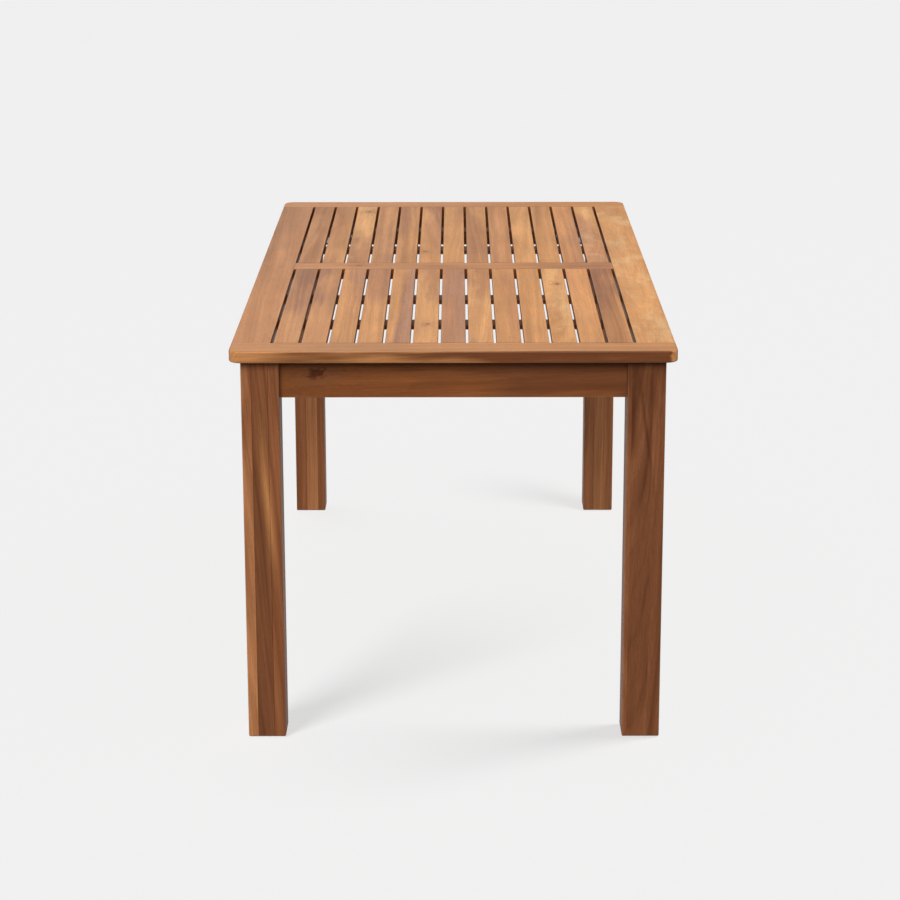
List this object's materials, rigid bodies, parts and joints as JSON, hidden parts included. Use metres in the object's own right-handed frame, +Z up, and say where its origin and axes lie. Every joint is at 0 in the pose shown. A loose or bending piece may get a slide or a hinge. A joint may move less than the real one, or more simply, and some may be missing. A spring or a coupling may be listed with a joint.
{
  "type": "patio dining table",
  "caption": "Rectangular slatted hardwood garden table: framed top in two panels of slats on four square legs, with aprons and bolted steel corner brackets.",
  "frame": {"origin": "on the floor, under the centre of the top", "axes": "+X across the slats to the right, +Y along the slats to the back, +Z up"},
  "size_m": [0.812, 1.6, 0.75],
  "materials": {
    "top_wood": "satin oil",
    "base_wood": "satin oil",
    "batten_wood": "satin oil",
    "dowel_wood": "bare",
    "black_steel": "black powder coat",
    "zinc_steel": "zinc plated",
    "glide_plastic": "moulded"
  },
  "bodies": {
    "root": {"end_rail_front": "top_wood", "end_rail_back": "top_wood", "side_rail_left": "top_wood", "side_rail_right": "top_wood", "centre_rail": "top_wood", "slat_front_01": "top_wood", "slat_front_02": "top_wood", "slat_front_03": "top_wood", "slat_front_04": "top_wood", "slat_front_05": "top_wood", "slat_front_06": "top_wood", "slat_front_07": "top_wood", "slat_front_08": "top_wood", "slat_front_09": "top_wood", "slat_front_10": "top_wood", "slat_front_11": "top_wood", "slat_front_12": "top_wood", "slat_front_13": "top_wood", "slat_back_01": "top_wood", "slat_back_02": "top_wood", "slat_back_03": "top_wood", "slat_back_04": "top_wood", "slat_back_05": "top_wood", "slat_back_06": "top_wood", "slat_back_07": "top_wood", "slat_back_08": "top_wood", "slat_back_09": "top_wood", "slat_back_10": "top_wood", "slat_back_11": "top_wood", "slat_back_12": "top_wood", "slat_back_13": "top_wood", "batten_1": "batten_wood", "batten_2": "batten_wood", "batten_3": "batten_wood", "batten_4": "batten_wood", "apron_front": "base_wood", "apron_back": "base_wood", "apron_left": "base_wood", "apron_right": "base_wood", "leg_front_left": "base_wood", "leg_front_right": "base_wood", "leg_back_left": "base_wood", "leg_back_right": "base_wood", "bracket_front_left": "black_steel", "bracket_front_right": "black_steel", "bracket_back_left": "black_steel", "bracket_back_right": "black_steel", "frame_dowels": "dowel_wood", "batten_screws": "zinc_steel", "apron_screws": "zinc_steel", "bracket_screws": "zinc_steel", "hanger_bolts": "zinc_steel", "flat_washers": "zinc_steel", "lock_washers": "zinc_steel", "hex_nuts": "zinc_steel", "foot_glides": "glide_plastic", "glide_nails": "zinc_steel"}
  },
  "joints": []
}
